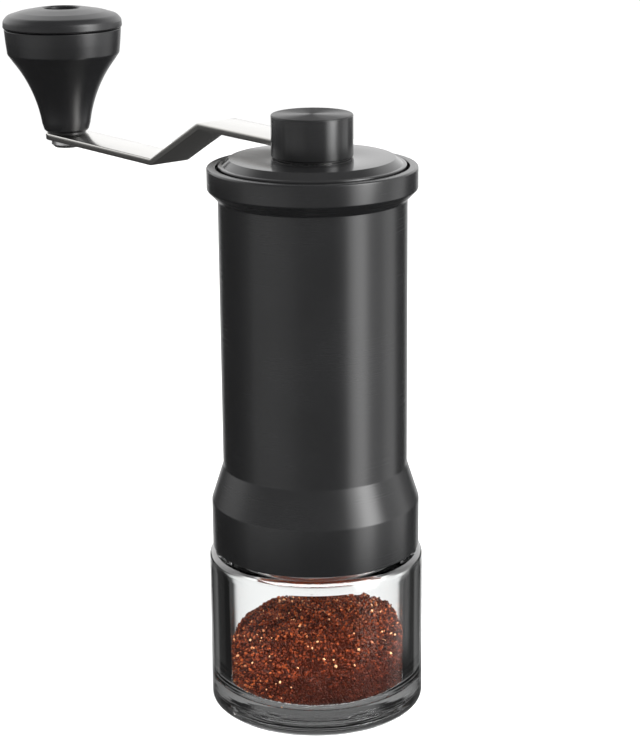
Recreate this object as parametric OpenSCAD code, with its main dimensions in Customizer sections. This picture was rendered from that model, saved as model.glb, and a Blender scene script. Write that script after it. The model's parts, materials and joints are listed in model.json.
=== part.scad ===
// Hand crank coffee grinder: glass catch jar, turned black housing with a conical burr set,
// lift-off lid with a folded steel crank and a turning knob. Millimetres, Z up.
// Origin: centre of the jar's flat bottom. The crank arm points along -X.

/* [Display] */
// Sub-part to draw, or "all" for the whole assembly

/* [Jar] */
// Outer radius of the glass jar
jar_r = 29.25; // [27:0.05:31]
// Height of the jar's shoulder
jar_shoulder_z = 44.5; // [38:0.5:50]
// Bore radius of the jar
jar_bore_r = 24.2; // [22:0.1:26]
// Thickness of the jar's base
jar_floor = 5.8; // [3:0.1:8]
// Rounding of the jar's foot
jar_foot_round = 3.2; // [1:0.1:5]
// Rounding of the jar's shoulder
jar_shoulder_round = 2.0; // [0.5:0.1:3]
// Outer radius of the neck between the threads
neck_r = 24.9; // [24:0.1:25.5]
// Bore radius of the neck
neck_bore_r = 22.4; // [20:0.1:23]
// Height of the neck's top edge
neck_top_z = 56.0; // [54:0.1:57]

/* [Jar thread] */
// Rise of the two-start thread in one turn
thread_lead = 6.0; // [4:0.5:8]
// Radius of the jar thread's crest
jar_crest_r = 25.9; // [25.5:0.1:26]
// Bore radius of the skirt between its threads
skirt_bore_r = 26.3; // [26:0.1:27]
// Radius of the skirt thread's crest
skirt_crest_r = 25.35; // [25.2:0.05:25.8]

/* [Housing] */
// Outer radius of the tube
tube_r = 25.0; // [24:0.1:26]
// Outer radius of the rim
rim_r = 27.8; // [26:0.1:29]
// Height of the rim's top face
rim_top_z = 150.3; // [145:0.1:156]
// Height of the bottom of the rim's upright face
rim_face_z = 144.5; // [140:0.1:148]
// Height of the bottom of the rim's under-chamfer
rim_chamfer_z = 141.6; // [138:0.1:144]
// Radius of the recess that takes the lid
recess_r = 25.5; // [25:0.1:26.5]
// Height of the recess floor
recess_z = 147.5; // [146:0.1:149]
// Bore radius of the bean hopper
hopper_r = 23.0; // [22:0.1:23.5]
// Bore radius of the waist between the two bearing seats
waist_r = 21.5; // [20:0.1:22]
// Bore radius for the burr carrier
carrier_bore_r = 22.5; // [22:0.1:23]
// Outer radius of the skirt
skirt_r = 28.25; // [27:0.05:29]
// Height of the skirt's bottom edge
skirt_z = 45.65; // [45:0.05:47]
// Height where the skirt meets the cone
cone_low_z = 58.75; // [56:0.05:61]
// Height where the cone meets the tube
cone_top_z = 68.85; // [65:0.05:72]

/* [Bearings] */
// Shaft radius in the bearings
shaft_r = 4.0; // [3:0.5:5]
// Outer radius of a bearing
bearing_r = 8.0; // [7:0.5:9]
// Width of a bearing
bearing_w = 5.0; // [4:0.5:6]
// Number of balls in a bearing
ball_count = 9; // [6:1:10]
// Radius of a ball
ball_r = 1.1; // [0.8:0.1:1.4]
// Bottom of the upper bearing
upper_bearing_z = 105.5; // [100:0.5:112]
// Bottom of the lower bearing
lower_bearing_z = 88.0; // [86:0.5:92]

/* [Burrs] */
// Height of the outer burr's lower face
burr_z = 61.8; // [61:0.1:63]
// Height of the outer burr's upper face
burr_top_z = 80.0; // [76:0.5:84]
// Radius of the outer burr's tooth tips at the exit
outer_tip_r = 16.45; // [16:0.05:17]
// Radius of the outer burr's mouth
outer_mouth_r = 14.0; // [13:0.1:15]
// Number of fine teeth on the outer burr
outer_teeth = 36; // [24:1:48]
// Radius of the inner burr at its base
inner_base_r = 16.0; // [15:0.05:16.2]
// Radius of the inner burr at its nose
inner_nose_r = 6.6; // [6:0.1:8]
// Number of fine teeth on the inner burr
inner_teeth = 32; // [20:1:40]
// Number of bean breaking flutes on the inner burr
breaker_flutes = 6; // [4:1:8]

/* [Adjuster] */
// Radius of the adjusting dial
dial_r = 14.0; // [12:0.5:18]
// Height of the dial's lower face
dial_z = 53.0; // [52:0.1:54]
// Height of the dial's upper face
dial_top_z = 59.5; // [58:0.1:59.5]
// Number of finger scallops round the dial
dial_scallops = 12; // [8:1:18]
// Number of clicks in one turn of the dial
click_count = 12; // [8:1:24]

/* [Lid] */
// Radius of the lid's flange
lid_flange_r = 24.75; // [24:0.05:25.2]
// Height of the flange's top
lid_flange_z = 150.75; // [150:0.05:151.5]
// Radius of the lid's step
lid_step_r = 23.7; // [23:0.1:24.5]
// Radius of the lid's flat top
lid_face_r = 21.85; // [20:0.05:23]
// Height of the lid's flat top
lid_top_z = 152.4; // [151:0.1:154]
// Radius of the spigot that enters the hopper
spigot_r = 22.7; // [22:0.1:22.9]
// Height of the spigot's lower edge
spigot_z = 141.5; // [139:0.1:144]

/* [Crank] */
// Radius of the hub
hub_r = 10.8; // [9:0.1:13]
// Height of the hub's underside
hub_z = 152.8; // [152.5:0.1:154]
// Height of the hub's top
hub_top_z = 163.8; // [160:0.1:168]
// Distance from the shaft axis to the knob axis
crank_length = 121.5; // [90:0.5:160]
// Width of the crank strip
strip_w = 12.8; // [10:0.1:16]
// Thickness of the crank strip
strip_t = 2.0; // [1.5:0.1:3]
// Height of the strip's upper surface at the hub
strip_high_z = 156.8; // [155:0.1:160]
// Height of the strip's upper surface at the knob
strip_low_z = 143.5; // [135:0.1:150]
// Distance from the shaft axis to the upper bend
upper_bend_s = 43.0; // [30:0.5:60]
// Distance from the shaft axis to the lower bend
lower_bend_s = 66.8; // [50:0.1:90]
// Inside radius of the bends
bend_r = 1.5; // [1:0.1:4]

/* [Knob] */
// Radius of the knob at the cap
knob_r = 17.95; // [14:0.05:20]
// Radius of the knob's neck
knob_neck_r = 6.8; // [6:0.1:9]
// Height of the seam between the knob and its cap
knob_seam_z = 175.2; // [170:0.1:178]
// Height of the knob's top
knob_top_z = 181.2; // [178:0.1:186]
// Radius of the hole in the cap
cap_hole_r = 5.3; // [4:0.1:7]

/* [Hidden] */
$fn = 96;
eps = 0.01;
glass_c = [0.85, 0.92, 0.92, 0.35];
black_c = [0.09, 0.09, 0.10];
steel_c = [0.72, 0.73, 0.75];
alu_c = [0.66, 0.67, 0.69];
brass_c = [0.80, 0.66, 0.36];
rubber_c = [0.05, 0.05, 0.05];
pom_c = [0.13, 0.13, 0.13];

// threads between the jar and the skirt
thread_z = 47.0;
thread_pitch = thread_lead / 2;
shelf_z = neck_top_z + 1.6;

// shaft
hex_af = 6.9;
hex_gap = 0.12;
shaft_tip_z = 49.4;
shaft_thread_r = 3.0;
hex_low_z = 58.5;
round_low_z = 87.4;
round_top_z = 140.0;
shaft_top_z = 151.5;
clip_z = upper_bearing_z + bearing_w + 0.1;
end_clip_z = 50.4;

// seats
bridge_z = upper_bearing_z - 1.5;
bridge_h = 6.5;
waist_low_z = 93.0;
carrier_top_z = 93.0;
stage_z = 70.0;
ring_z = burr_z - 1.05;

// detent
detent_r = 8.5;
plate_z = dial_top_z + 0.1;
plate_top_z = plate_z + 1.4;

// lid and crank
boss_z = 144.5;
bush_out_r = 9.5;
stem_r = 8.0;
stem_z = 141.0;
strip_under = strip_t;
pin_x = -crank_length;
nut_z = strip_low_z - strip_t - 2.4;
knob_z = strip_low_z + 0.5;
head_z = knob_seam_z - 0.4;

// ---- helpers -------------------------------------------------------------

// ring between two radii
module ring(r_in, r_out, z, h) {
    translate([0, 0, z])
    difference() {
        cylinder(r = r_out, h = h);
        translate([0, 0, -1])
        cylinder(r = r_in, h = h + 2);
    }
}

// hexagonal prism by the distance across its flats
module hex(af, z, h) {
    translate([0, 0, z])
    cylinder(r = af / 2 / cos(30), h = h, $fn = 6);
}

// shape to take off an outer corner at [x, y] of a profile; sx, sy point out of the solid
module corner(x, y, r, sx, sy) {
    difference() {
        translate([x - (sx > 0 ? r : 0) + (sx > 0 ? 0 : -eps), y - (sy > 0 ? r : 0) + (sy > 0 ? 0 : -eps)])
        square([r + eps, r + eps]);
        translate([x - sx * r, y - sy * r])
        circle(r = r, $fn = 48);
    }
}

// one helical ridge of trapezoid section on a wall of radius root
module ridge(root, crest, hw_root, hw_crest, turns, z0, a0, steps) {
    out = crest > root ? 1 : -1;
    base = root - 0.45 * out;
    pts = [for (i = [0 : steps])
        let (a = a0 + 360 * turns * i / steps,
            z = z0 + thread_lead * turns * i / steps,
            f = min(1, min(i, steps - i) / 3),
            top = root - 0.2 * out + (crest - root + 0.2 * out) * f)
        each [
            [base * cos(a), base * sin(a), z - hw_root],
            [top * cos(a), top * sin(a), z - hw_crest],
            [top * cos(a), top * sin(a), z + hw_crest],
            [base * cos(a), base * sin(a), z + hw_root]]];
    sides = [for (i = [0 : steps - 1], k = [0 : 3])
        let (a = 4 * i + k, b = 4 * i + (k + 1) % 4)
        each (out > 0
            ? [[a, b, b + 4], [a, b + 4, a + 4]]
            : [[a, b + 4, b], [a, a + 4, b + 4]])];
    n = 4 * steps;
    ends = out > 0
        ? [[0, 3, 2], [0, 2, 1], [n, n + 1, n + 2], [n, n + 2, n + 3]]
        : [[0, 2, 3], [0, 1, 2], [n, n + 2, n + 1], [n, n + 3, n + 2]];
    polyhedron(points = pts, faces = concat(sides, ends), convexity = 6);
}

// coil spring of round wire drawn with six sides
module coil(r, wire, turns, z0, z1, per_turn) {
    steps = turns * per_turn;
    pts = [for (i = [0 : steps], k = [0 : 5])
        let (a = 360 * i / per_turn,
            z = z0 + wire + (z1 - z0 - 2 * wire) * i / steps,
            q = r + wire * cos(60 * k))
        [q * cos(a), q * sin(a), z + wire * 0.98 * sin(60 * k)]];
    sides = [for (i = [0 : steps - 1], k = [0 : 5])
        let (a = 6 * i + k, b = 6 * i + (k + 1) % 6)
        each [[a, b + 6, b], [a, a + 6, b + 6]]];
    n = 6 * steps;
    ends = [[0, 1, 2, 3, 4, 5], [n + 5, n + 4, n + 3, n + 2, n + 1, n]];
    polyhedron(points = pts, faces = concat(sides, ends), convexity = 10);
}

// ring of trapezoid teeth as a polygon; duty is the share of a pitch that a tip takes
module teeth(n, r_tip, r_root, duty) {
    polygon([for (i = [0 : n - 1])
        let (p = 360 / n, a = i * p)
        each [
            [r_root * cos(a), r_root * sin(a)],
            [r_tip * cos(a + p * 0.12), r_tip * sin(a + p * 0.12)],
            [r_tip * cos(a + p * (0.12 + duty)), r_tip * sin(a + p * (0.12 + duty))],
            [r_root * cos(a + p * (0.75 + duty * 0.2)), r_root * sin(a + p * (0.75 + duty * 0.2))]]]);
}

// retaining ring: a C with two eyelets at its gap
module c_ring(r_in, r_out, z, h, gap_a, ear_r, ear_inside) {
    difference() {
        union() {
            ring(r_in, r_out, z, h);
            for (s = [-1, 1])
            rotate([0, 0, s * gap_a])
            translate([ear_inside ? r_in : r_out - ear_r * 0.6, 0, z])
            cylinder(r = ear_r, h = h, $fn = 32);
        }
        if (ear_inside) {
            difference() {
                translate([0, 0, z - 1])
                cylinder(r = r_out + ear_r * 2, h = h + 2);
                translate([0, 0, z - 2])
                cylinder(r = r_out, h = h + 4);
            }
        } else {
            translate([0, 0, z - 1])
            cylinder(r = r_in, h = h + 2);
        }
        translate([0, 0, z - 1])
        linear_extrude(height = h + 2)
        polygon([[0, 0], [3 * r_out * cos(gap_a * 0.55), -3 * r_out * sin(gap_a * 0.55)],
            [3 * r_out * cos(gap_a * 0.55), 3 * r_out * sin(gap_a * 0.55)]]);
        for (s = [-1, 1])
        rotate([0, 0, s * gap_a])
        translate([ear_inside ? r_in - ear_r * 0.15 : r_out - ear_r * 0.3, 0, z - 1])
        cylinder(r = ear_r * 0.38, h = h + 2, $fn = 24);
    }
}

// ---- jar -----------------------------------------------------------------

module jar() {
    color(glass_c)
    union() {
        rotate_extrude()
        difference() {
            polygon([[0, 0], [jar_r, 0], [jar_r, jar_shoulder_z], [neck_r, jar_shoulder_z],
                [neck_r, neck_top_z], [neck_bore_r, neck_top_z], [neck_bore_r, jar_shoulder_z],
                [jar_bore_r, jar_shoulder_z - 3.2], [jar_bore_r, jar_floor], [0, jar_floor]]);
            corner(jar_r, 0, jar_foot_round, 1, -1);
            corner(jar_r, jar_shoulder_z, jar_shoulder_round, 1, 1);
            corner(neck_r, neck_top_z, 0.7, 1, 1);
            corner(neck_bore_r, neck_top_z, 0.7, -1, 1);
        }
        // fillet where the bore meets the floor
        rotate_extrude()
        difference() {
            translate([jar_bore_r - 4, jar_floor - 0.5])
            square([4.5, 4.5]);
            translate([jar_bore_r - 4, jar_floor + 4])
            circle(r = 4, $fn = 64);
        }
        for (s = [0, 1])
        ridge(neck_r, jar_crest_r, 0.6, 0.3, 1, thread_z, 180 * s, 36);
    }
}

module jar_gasket() {
    color(rubber_c)
    rotate_extrude()
    difference() {
        translate([22.6, neck_top_z + 0.1])
        square([3.0, 1.4]);
        corner(22.6, neck_top_z + 0.1, 0.4, -1, -1);
        corner(25.6, neck_top_z + 0.1, 0.4, 1, -1);
    }
}

// ---- housing -------------------------------------------------------------

module body_shell() {
    color(black_c)
    union() {
        rotate_extrude()
        difference() {
            polygon([[hopper_r, bridge_z], [hopper_r, recess_z], [recess_r, recess_z],
                [recess_r, rim_top_z - 0.3], [recess_r + 0.3, rim_top_z],
                [rim_r - 0.5, rim_top_z], [rim_r, rim_top_z - 0.5], [rim_r, rim_face_z],
                [rim_r - 0.5, rim_face_z - 0.7], [tube_r, rim_chamfer_z], [tube_r, cone_top_z],
                [skirt_r, cone_low_z], [skirt_r, skirt_z + 0.4], [skirt_r - 0.4, skirt_z],
                [skirt_bore_r + 0.3, skirt_z], [skirt_bore_r, skirt_z + 0.3],
                [skirt_bore_r, shelf_z], [carrier_bore_r, shelf_z],
                [carrier_bore_r, waist_low_z], [waist_r, waist_low_z], [waist_r, bridge_z]]);
            // groove for the bridge's ring
            translate([hopper_r - 1, bridge_z + bridge_h + 0.1])
            square([1.8, 1.1]);
            // groove for the carrier's ring
            translate([carrier_bore_r - 1, ring_z - 0.05])
            square([1.9, 1.1]);
        }
        for (s = [0, 1])
        ridge(skirt_bore_r, skirt_crest_r, 0.6, 0.3, 1, thread_z + thread_pitch / 2, 180 * s, 36);
    }
}

// three-legged bridge that holds the upper bearing in the hopper
module upper_bridge() {
    color(alu_c)
    difference() {
        union() {
            ring(bearing_r + 0.01, 10.6, bridge_z, bridge_h);
            ring(20.6, hopper_r - 0.02, bridge_z, bridge_h);
            for (k = [0 : 2])
            rotate([0, 0, 120 * k + 30])
            translate([9.5, -2.2, bridge_z])
            cube([12, 4.4, bridge_h]);
            ring(7.0, 9.0, bridge_z, 1.5 - 0.02);
        }
        // sloped backs shed beans to the windows
        for (k = [0 : 2], s = [-1, 1])
        rotate([0, 0, 120 * k + 30])
        translate([10.7, s * 2.25, bridge_z + bridge_h])
        rotate([45, 0, 0])
        translate([0, -1, -1])
        cube([9.8, 2, 2]);
    }
}

module bridge_ring() {
    color(steel_c)
    c_ring(21.9, hopper_r + 0.75, bridge_z + bridge_h + 0.15, 1.0, 9, 1.5, true);
}

// bearing pieces; z is the bottom of the bearing
module outer_race(z) {
    color(steel_c)
    rotate_extrude()
    difference() {
        polygon([[6.75, z], [7.75, z], [bearing_r, z + 0.25], [bearing_r, z + bearing_w - 0.25],
            [7.75, z + bearing_w], [6.75, z + bearing_w]]);
        translate([6.0, z + bearing_w / 2])
        circle(r = ball_r + 0.12, $fn = 48);
    }
}

module inner_race(z) {
    color(steel_c)
    rotate_extrude()
    difference() {
        polygon([[shaft_r, z + 0.2], [shaft_r + 0.2, z], [5.25, z], [5.25, z + bearing_w],
            [shaft_r + 0.2, z + bearing_w], [shaft_r, z + bearing_w - 0.2]]);
        translate([6.0, z + bearing_w / 2])
        circle(r = ball_r + 0.12, $fn = 48);
    }
}

module balls(z) {
    color(alu_c)
    for (k = [0 : ball_count - 1])
    rotate([0, 0, 360 / ball_count * k])
    translate([6.0, 0, z + bearing_w / 2])
    sphere(r = ball_r, $fn = 32);
}

module cage(z) {
    color(brass_c)
    difference() {
        ring(5.5, 6.5, z + 1.2, 2.6);
        for (k = [0 : ball_count - 1])
        rotate([0, 0, 360 / ball_count * k])
        translate([4, 0, z + bearing_w / 2])
        rotate([0, 90, 0])
        cylinder(r = ball_r + 0.08, h = 4, $fn = 32);
    }
}

module upper_outer_race() {
    outer_race(upper_bearing_z);
}

module upper_inner_race() {
    inner_race(upper_bearing_z);
}

module upper_balls() {
    balls(upper_bearing_z);
}

module upper_cage() {
    cage(upper_bearing_z);
}

module lower_outer_race() {
    outer_race(lower_bearing_z);
}

module lower_inner_race() {
    inner_race(lower_bearing_z);
}

module lower_balls() {
    balls(lower_bearing_z);
}

module lower_cage() {
    cage(lower_bearing_z);
}

// carrier that holds the lower bearing above and the outer burr below
module burr_carrier() {
    color(alu_c)
    difference() {
        union() {
            rotate_extrude()
            polygon([[18.95, burr_z + 3.3], [carrier_bore_r - 0.02, burr_z + 3.3],
                [carrier_bore_r - 0.02, carrier_top_z - 0.02], [20.6, carrier_top_z - 0.02],
                [20.6, burr_top_z + 5], [17.4, burr_top_z + 0.7], [17.4, burr_top_z + 0.02],
                [18.95, burr_top_z + 0.02]]);
            ring(bearing_r + 0.01, 10.6, 86.5, carrier_top_z - 0.02 - 86.5);
            ring(7.0, 9.0, 86.5, 1.48);
            for (k = [0 : 2])
            rotate([0, 0, 120 * k + 90])
            translate([9.5, -2.2, 86.5])
            cube([11.8, 4.4, carrier_top_z - 0.02 - 86.5]);
        }
        // tapped holes for the burr screws
        for (k = [0 : 2])
        rotate([0, 0, 120 * k])
        translate([20.3, 0, burr_z + 3])
        cylinder(r = 1.27, h = 7, $fn = 32);
        // sloped backs of the legs
        for (k = [0 : 2], s = [-1, 1])
        rotate([0, 0, 120 * k + 90])
        translate([10.7, s * 2.25, carrier_top_z])
        rotate([45, 0, 0])
        translate([0, -1, -1])
        cube([9.8, 2, 2]);
    }
}

module carrier_ring() {
    color(steel_c)
    c_ring(21.4, carrier_bore_r + 0.85, ring_z, 1.0, 9, 1.4, true);
}

// ---- burrs ---------------------------------------------------------------

module outer_burr() {
    fine_h = stage_z - burr_z;
    mid_r = outer_tip_r - 1.15;
    color(steel_c)
    difference() {
        union() {
            ring(10, 18.9, burr_z, burr_top_z - burr_z);
            ring(10, 22.2, burr_z, 3.2);
        }
        translate([0, 0, burr_z - 0.001])
        linear_extrude(height = fine_h + 0.002, scale = mid_r / outer_tip_r, twist = -12,
            slices = 6, convexity = 10)
        teeth(outer_teeth, outer_tip_r + 0.8, outer_tip_r, 0.3);
        translate([0, 0, stage_z])
        linear_extrude(height = burr_top_z - stage_z + 0.01, scale = (outer_mouth_r + 1.2) / (mid_r + 1.2),
            twist = -24, slices = 8, convexity = 10)
        teeth(12, mid_r + 1.6, mid_r + 0.2, 0.3);
        for (k = [0 : 2])
        rotate([0, 0, 120 * k]) {
            translate([20.3, 0, burr_z - 1])
            cylinder(r = 1.32, h = 6, $fn = 32);
            translate([20.3, 0, burr_z - 0.01])
            cylinder(r1 = 1.92, r2 = 1.3, h = 1.35, $fn = 32);
        }
    }
}

module burr_screw(k) {
    color(steel_c)
    rotate([0, 0, 120 * k])
    translate([20.3, 0, burr_z])
    difference() {
        union() {
            translate([0, 0, 0.05])
            cylinder(r1 = 1.86, r2 = 1.25, h = 1.25, $fn = 32);
            translate([0, 0, 0.05])
            cylinder(r = 1.25, h = 9.2, $fn = 32);
        }
        cylinder(r = 0.75, h = 0.9, $fn = 6);
    }
}

module burr_screw_1() {
    burr_screw(0);
}

module burr_screw_2() {
    burr_screw(1);
}

module burr_screw_3() {
    burr_screw(2);
}

module inner_burr() {
    low = plate_top_z;
    mid = stage_z - 0.5;
    mid_r = 12.6;
    color(steel_c)
    difference() {
        union() {
            translate([0, 0, low])
            cylinder(r = inner_base_r - 1.0, h = 1.2);
            translate([0, 0, low + 0.4])
            linear_extrude(height = mid - low - 0.4, scale = mid_r / inner_base_r, twist = 22,
                slices = 7, convexity = 10)
            teeth(inner_teeth, inner_base_r, inner_base_r - 0.75, 0.28);
            translate([0, 0, mid - 0.01])
            linear_extrude(height = burr_top_z - 0.2 - mid, scale = inner_nose_r / mid_r, twist = 70,
                slices = 14, convexity = 10)
            teeth(breaker_flutes, mid_r, mid_r * 0.72, 0.18);
            translate([0, 0, mid])
            cylinder(r = inner_nose_r - 0.6, h = burr_top_z - mid);
        }
        hex(hex_af + hex_gap, low - 1, 30);
    }
}

module detent_plate() {
    color(brass_c)
    difference() {
        ring(4.3, 11.0, plate_z, plate_top_z - plate_z - 0.01);
        for (k = [0 : click_count - 1])
        rotate([0, 0, 360 / click_count * k])
        translate([detent_r, 0, plate_z - 1])
        cylinder(r = 0.9, h = 4, $fn = 32);
    }
}

module dial() {
    color(alu_c)
    difference() {
        rotate_extrude()
        polygon([[shaft_thread_r + 0.06, dial_z], [6, dial_z], [6.5, dial_z + 0.8],
            [dial_r - 1, dial_z + 0.8], [dial_r, dial_z + 1.6], [dial_r, dial_top_z - 1.2],
            [dial_r - 1.2, dial_top_z], [4.8, dial_top_z], [4.8, dial_z + 4.3],
            [shaft_thread_r + 0.06, dial_z + 4.3]]);
        for (k = [0 : dial_scallops - 1])
        rotate([0, 0, 360 / dial_scallops * (k + 0.5)])
        translate([dial_r + 1.7, 0, dial_z - 1])
        cylinder(r = 2.7, h = 10, $fn = 32);
        translate([detent_r, 0, dial_top_z - 4.2])
        cylinder(r = 1.06, h = 6, $fn = 32);
    }
}

module detent_ball() {
    color(steel_c)
    translate([detent_r, 0, dial_top_z - 0.95])
    sphere(r = 1.0, $fn = 32);
}

module detent_spring() {
    color(steel_c)
    translate([detent_r, 0, 0])
    coil(0.75, 0.16, 4, dial_top_z - 4.15, dial_top_z - 2.0, 12);
}

module burr_spring() {
    color(steel_c)
    coil(5.3, 0.45, 4, burr_top_z + 0.02, round_low_z - 0.03, 16);
}

module spring_washer() {
    color(steel_c)
    ring(shaft_r + 0.05, 6.4, round_low_z, 0.55);
}

// ---- shaft ---------------------------------------------------------------

module drive_shaft() {
    color(steel_c)
    union() {
        difference() {
            rotate_extrude()
            polygon([[0, shaft_tip_z], [2.5, shaft_tip_z], [shaft_thread_r, shaft_tip_z + 0.5],
                [shaft_thread_r, end_clip_z], [2.4, end_clip_z], [2.4, end_clip_z + 0.8],
                [shaft_thread_r, end_clip_z + 0.8], [shaft_thread_r, hex_low_z + 0.5], [0, hex_low_z + 0.5]]);
        }
        hex(hex_af, hex_low_z, round_low_z - hex_low_z + 0.1);
        rotate_extrude()
        polygon([[0, round_low_z], [shaft_r, round_low_z], [shaft_r, clip_z],
            [3.5, clip_z], [3.5, clip_z + 0.8], [shaft_r, clip_z + 0.8],
            [shaft_r, round_top_z - 0.4], [shaft_r - 0.4, round_top_z], [0, round_top_z]]);
        intersection() {
            hex(hex_af, round_top_z - 0.1, shaft_top_z - round_top_z + 0.1);
            translate([0, 0, round_top_z - 0.5])
            cylinder(r1 = 4.2 + 11.2, r2 = 3.2, h = shaft_top_z - round_top_z + 0.5);
        }
    }
}

module shaft_clip() {
    color(steel_c)
    c_ring(3.5, 5.1, clip_z + 0.02, 0.76, 16, 1.0, false);
}

module end_clip() {
    color(steel_c)
    c_ring(2.4, 4.2, end_clip_z + 0.02, 0.76, 20, 0.9, false);
}

module spacer_sleeve() {
    color(alu_c)
    ring(shaft_r + 0.02, 5.2, lower_bearing_z + bearing_w + 0.01,
        upper_bearing_z - lower_bearing_z - bearing_w - 0.02);
}

// ---- lid -----------------------------------------------------------------

module lid() {
    color(black_c)
    rotate_extrude()
    difference() {
        polygon([[bush_out_r, boss_z], [11.8, boss_z], [11.8, 149.0], [19.6, 149.0],
            [19.6, spigot_z], [spigot_r - 0.4, spigot_z], [spigot_r, spigot_z + 0.4],
            [spigot_r, recess_z + 0.1], [lid_flange_r, recess_z + 0.1],
            [lid_flange_r, lid_flange_z - 0.2], [lid_flange_r - 0.2, lid_flange_z],
            [lid_step_r, lid_flange_z], [lid_face_r, lid_top_z], [bush_out_r, lid_top_z]]);
        // groove for the sealing ring
        translate([20.85, 143.4])
        square([3, 2.3]);
    }
}

module lid_o_ring() {
    color(rubber_c)
    rotate_extrude()
    translate([21.87, 144.55])
    circle(r = 1.0, $fn = 32);
}

module lid_bush() {
    color(brass_c)
    rotate_extrude()
    polygon([[stem_r + 0.05, boss_z - 0.8], [11.4, boss_z - 0.8], [11.4, boss_z - 0.01],
        [bush_out_r, boss_z - 0.01], [bush_out_r, lid_top_z - 0.05], [stem_r + 0.05, lid_top_z - 0.05]]);
}

// ---- crank ---------------------------------------------------------------

module drive_socket() {
    color(steel_c)
    difference() {
        union() {
            rotate_extrude()
            polygon([[0, stem_z], [stem_r - 0.4, stem_z], [stem_r, stem_z + 0.4],
                [stem_r, stem_z + 1.2], [7.3, stem_z + 1.2], [7.3, stem_z + 2.2],
                [stem_r, stem_z + 2.2], [stem_r, strip_high_z - strip_t],
                [0, strip_high_z - strip_t]]);
            hex(8.0, strip_high_z - strip_t - 1, strip_t + 1);
            translate([0, 0, strip_high_z - 1])
            cylinder(r = 3.5, h = 5.2);
        }
        hex(hex_af + hex_gap, stem_z - 1, 12.5);
        translate([0, 0, stem_z - 0.01])
        cylinder(r1 = 4.8, r2 = 3.5, h = 1.3);
    }
}

module socket_clip() {
    color(steel_c)
    c_ring(7.3, 9.6, stem_z + 1.25, 0.9, 10, 1.3, false);
}

module hub_washer() {
    color(pom_c)
    ring(stem_r + 0.1, 10.3, lid_top_z + 0.1, hub_z - lid_top_z - 0.12);
}

module hub_cap() {
    color(black_c)
    difference() {
        rotate_extrude()
        polygon([[0, hub_z], [hub_r - 0.35, hub_z], [hub_r, hub_z + 0.35],
            [hub_r, hub_top_z - 0.45], [hub_r - 0.45, hub_top_z], [0, hub_top_z]]);
        translate([0, 0, hub_z - 1])
        cylinder(r = stem_r + 0.01, h = strip_high_z - strip_t - hub_z + 1);
        translate([0, 0, hub_z])
        cylinder(r = 3.52, h = 8.6);
        translate([0, 0, strip_high_z - strip_t - 0.01])
        linear_extrude(height = strip_t + 0.03)
        union() {
            translate([-hub_r - 2, -strip_w / 2 - 0.03])
            square([hub_r + 2, strip_w + 0.06]);
            circle(r = strip_w / 2 + 0.03);
        }
    }
}

// points along an arc, for the bends
function arc(cx, cy, r, a0, a1, n) =
    [for (i = [0 : n]) let (a = a0 + (a1 - a0) * i / n) [cx + r * cos(a), cy + r * sin(a)]];

module crank_arm() {
    fall = strip_high_z - strip_low_z;
    phi = atan2(fall, lower_bend_s - upper_bend_s);
    big = bend_r + strip_t;
    c1 = [upper_bend_s - big * tan(phi / 2), strip_high_z - big];
    c2 = [lower_bend_s + bend_r * tan(phi / 2), strip_low_z + bend_r];
    far = crank_length + strip_w;
    side = concat(
        [[-strip_w, strip_high_z]],
        arc(c1[0], c1[1], big, 90, 90 - phi, 6),
        arc(c2[0], c2[1], bend_r, 270 - phi, 270, 4),
        [[far, strip_low_z], [far, strip_low_z - strip_t]],
        arc(c2[0], c2[1], big, 270, 270 - phi, 6),
        arc(c1[0], c1[1], bend_r, 90 - phi, 90, 4),
        [[-strip_w, strip_high_z - strip_t]]);
    color(steel_c)
    difference() {
        intersection() {
            mirror([1, 0, 0])
            translate([0, strip_w / 2, 0])
            rotate([90, 0, 0])
            linear_extrude(height = strip_w)
            polygon(side);
            translate([0, 0, strip_low_z - 5])
            linear_extrude(height = 30)
            union() {
                circle(r = strip_w / 2);
                translate([pin_x, 0])
                circle(r = strip_w / 2);
                translate([pin_x, -strip_w / 2])
                square([crank_length, strip_w]);
            }
        }
        hex(8.04, strip_high_z - 5, 10);
        translate([pin_x, 0, strip_low_z - 5])
        cylinder(r = 2.52, h = 10);
    }
}

// ---- knob ----------------------------------------------------------------

module knob_nut() {
    color(steel_c)
    translate([pin_x, 0, 0])
    difference() {
        rotate_extrude()
        polygon([[0, nut_z], [3.9, nut_z], [4.7, nut_z + 0.9], [4.7, nut_z + 2.39], [0, nut_z + 2.39]]);
        translate([0, 0, nut_z + 0.6])
        cylinder(r = 2.51, h = 4);
        hex(2.5, nut_z - 1, 1.5);
    }
}

module foot_washer() {
    color(pom_c)
    translate([pin_x, 0, 0])
    ring(3.03, 5.8, strip_low_z + 0.01, 0.38);
}

module knob_sleeve() {
    color(brass_c)
    translate([pin_x, 0, 0])
    ring(3.05, 4.5, knob_z + 0.1, head_z - knob_z - 0.8);
}

module knob_body() {
    flare_z = 140.63;
    flare_x = 47.47;
    flare_r = 40.54;
    low = 146.4;
    high = 165.5;
    flare = [for (i = [0 : 12])
        let (z = low + (high - low) * i / 12)
        [flare_x - sqrt(flare_r * flare_r - (z - flare_z) * (z - flare_z)), z]];
    color(black_c)
    translate([pin_x, 0, 0])
    rotate_extrude()
    polygon(concat(
        [[4.52, knob_z], [knob_neck_r - 0.5, knob_z], [knob_neck_r, knob_z + 0.5]],
        flare,
        [[16.35, 166.8], [16.9, 168.0], [17.2, 169.3], [17.45, 171.5],
            [knob_r - 0.35, knob_seam_z - 0.25], [knob_r - 0.6, knob_seam_z],
            [7.0, knob_seam_z], [7.0, knob_seam_z - 1.2], [4.52, knob_seam_z - 1.2]]));
}

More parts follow.
